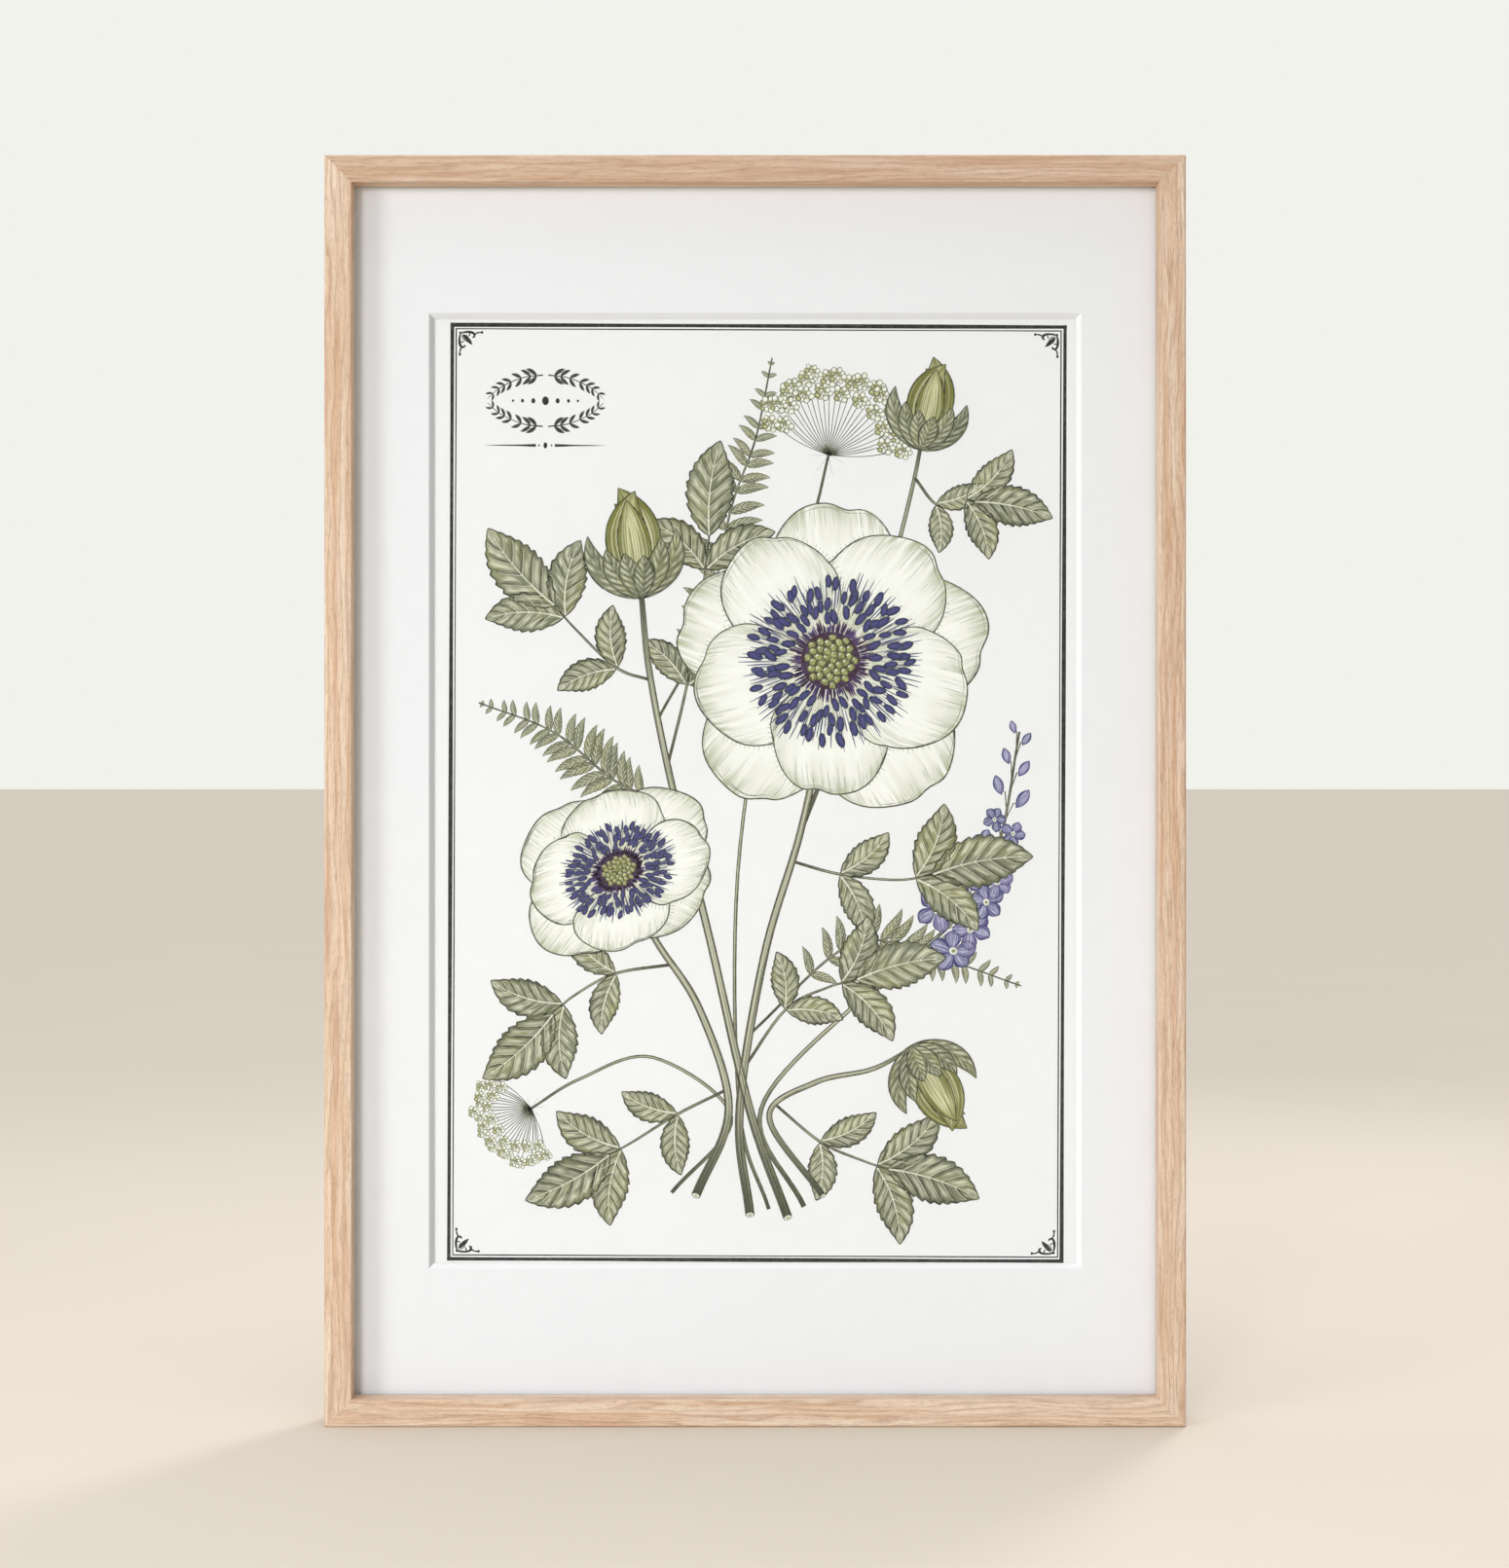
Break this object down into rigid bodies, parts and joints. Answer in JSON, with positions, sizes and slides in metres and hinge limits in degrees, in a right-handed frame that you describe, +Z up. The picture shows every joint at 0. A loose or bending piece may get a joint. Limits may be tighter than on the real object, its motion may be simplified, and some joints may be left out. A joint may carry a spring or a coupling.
{
  "type": "framed botanical print",
  "caption": "Upright picture frame in pale oak with mitred corners, clear glazing, a bevelled window mat and a flower print; swivelling clips and ring hangers behind.",
  "frame": {"origin": "middle of the underside of the whole object, hardware at the back included", "axes": "+Z up the frame's height, +X to the right seen from the front, +Y backwards, so the print faces -Y"},
  "size_m": [0.63, 0.0362, 0.93],
  "materials": {
    "oak_frame": "satin lacquered light oak",
    "corner_steel": "bright steel V-nail",
    "glazing": "clear acrylic sheet",
    "mat_card": "matte white mat card",
    "print_paper": "matte art paper, printed",
    "paper_tape": "gummed paper tape",
    "foam_board": "paper-faced foam board",
    "hardboard": "brown hardboard",
    "zinc_steel": "zinc-plated steel",
    "nickel_steel": "nickel-plated steel",
    "bumper_rubber": "matte black rubber"
  },
  "bodies": {
    "frame": {"bottom_rail": "oak_frame", "top_rail": "oak_frame", "left_stile": "oak_frame", "right_stile": "oak_frame", "v_nail_bottom_left_outer": "corner_steel", "v_nail_bottom_left_inner": "corner_steel", "v_nail_bottom_right_outer": "corner_steel", "v_nail_bottom_right_inner": "corner_steel", "v_nail_top_left_outer": "corner_steel", "v_nail_top_left_inner": "corner_steel", "v_nail_top_right_outer": "corner_steel", "v_nail_top_right_inner": "corner_steel", "glazing_sheet": "glazing", "mat_board": "mat_card", "art_print": "print_paper", "print_tape_left": "paper_tape", "print_tape_right": "paper_tape", "mount_board": "foam_board", "backing_board": "hardboard", "button_screw_bottom_left": "zinc_steel", "button_screw_bottom_right": "zinc_steel", "button_screw_left_low": "zinc_steel", "button_screw_left_middle": "zinc_steel", "button_screw_left_high": "zinc_steel", "button_screw_top_left": "zinc_steel", "button_screw_top_right": "zinc_steel", "button_screw_right_low": "zinc_steel", "button_screw_right_middle": "zinc_steel", "button_screw_right_high": "zinc_steel", "hanger_strap_left": "nickel_steel", "hanger_screw_left_upper": "zinc_steel", "hanger_screw_left_lower": "zinc_steel", "wall_bumper_left": "bumper_rubber", "hanger_strap_right": "nickel_steel", "hanger_screw_right_upper": "zinc_steel", "hanger_screw_right_lower": "zinc_steel", "wall_bumper_right": "bumper_rubber"},
    "button_bottom_left": {"turn_button_bottom_left": "zinc_steel"},
    "button_bottom_right": {"turn_button_bottom_right": "zinc_steel"},
    "button_left_low": {"turn_button_left_low": "zinc_steel"},
    "button_left_middle": {"turn_button_left_middle": "zinc_steel"},
    "button_left_high": {"turn_button_left_high": "zinc_steel"},
    "button_top_left": {"turn_button_top_left": "zinc_steel"},
    "button_top_right": {"turn_button_top_right": "zinc_steel"},
    "button_right_low": {"turn_button_right_low": "zinc_steel"},
    "button_right_middle": {"turn_button_right_middle": "zinc_steel"},
    "button_right_high": {"turn_button_right_high": "zinc_steel"},
    "ring_left": {"hanger_ring_left": "nickel_steel"},
    "ring_right": {"hanger_ring_right": "nickel_steel"}
  },
  "joints": [
    {"name": "button_bottom_left_swivel", "type": "hinge", "parent": "frame", "child": "button_bottom_left", "pos_m": [-0.15, 0.01285, 0.0085], "axis": [0, 1, 0], "range_deg": [-90, 90]},
    {"name": "button_bottom_right_swivel", "type": "hinge", "parent": "frame", "child": "button_bottom_right", "pos_m": [0.15, 0.01285, 0.0085], "axis": [0, 1, 0], "range_deg": [-90, 90]},
    {"name": "button_left_low_swivel", "type": "hinge", "parent": "frame", "child": "button_left_low", "pos_m": [-0.3065, 0.01285, 0.155], "axis": [0, 1, 0], "range_deg": [-90, 90]},
    {"name": "button_left_middle_swivel", "type": "hinge", "parent": "frame", "child": "button_left_middle", "pos_m": [-0.3065, 0.01285, 0.465], "axis": [0, 1, 0], "range_deg": [-90, 90]},
    {"name": "button_left_high_swivel", "type": "hinge", "parent": "frame", "child": "button_left_high", "pos_m": [-0.3065, 0.01285, 0.775], "axis": [0, 1, 0], "range_deg": [-90, 90]},
    {"name": "button_top_left_swivel", "type": "hinge", "parent": "frame", "child": "button_top_left", "pos_m": [-0.15, 0.01285, 0.9215], "axis": [0, 1, 0], "range_deg": [-90, 90]},
    {"name": "button_top_right_swivel", "type": "hinge", "parent": "frame", "child": "button_top_right", "pos_m": [0.15, 0.01285, 0.9215], "axis": [0, 1, 0], "range_deg": [-90, 90]},
    {"name": "button_right_low_swivel", "type": "hinge", "parent": "frame", "child": "button_right_low", "pos_m": [0.3065, 0.01285, 0.155], "axis": [0, 1, 0], "range_deg": [-90, 90]},
    {"name": "button_right_middle_swivel", "type": "hinge", "parent": "frame", "child": "button_right_middle", "pos_m": [0.3065, 0.01285, 0.465], "axis": [0, 1, 0], "range_deg": [-90, 90]},
    {"name": "button_right_high_swivel", "type": "hinge", "parent": "frame", "child": "button_right_high", "pos_m": [0.3065, 0.01285, 0.775], "axis": [0, 1, 0], "range_deg": [-90, 90]},
    {"name": "ring_left_swing", "type": "hinge", "parent": "frame", "child": "ring_left", "pos_m": [-0.306, 0.015, 0.7], "axis": [1, 0, 0], "range_deg": [0, 180]},
    {"name": "ring_right_swing", "type": "hinge", "parent": "frame", "child": "ring_right", "pos_m": [0.306, 0.015, 0.7], "axis": [1, 0, 0], "range_deg": [0, 180]}
  ]
}
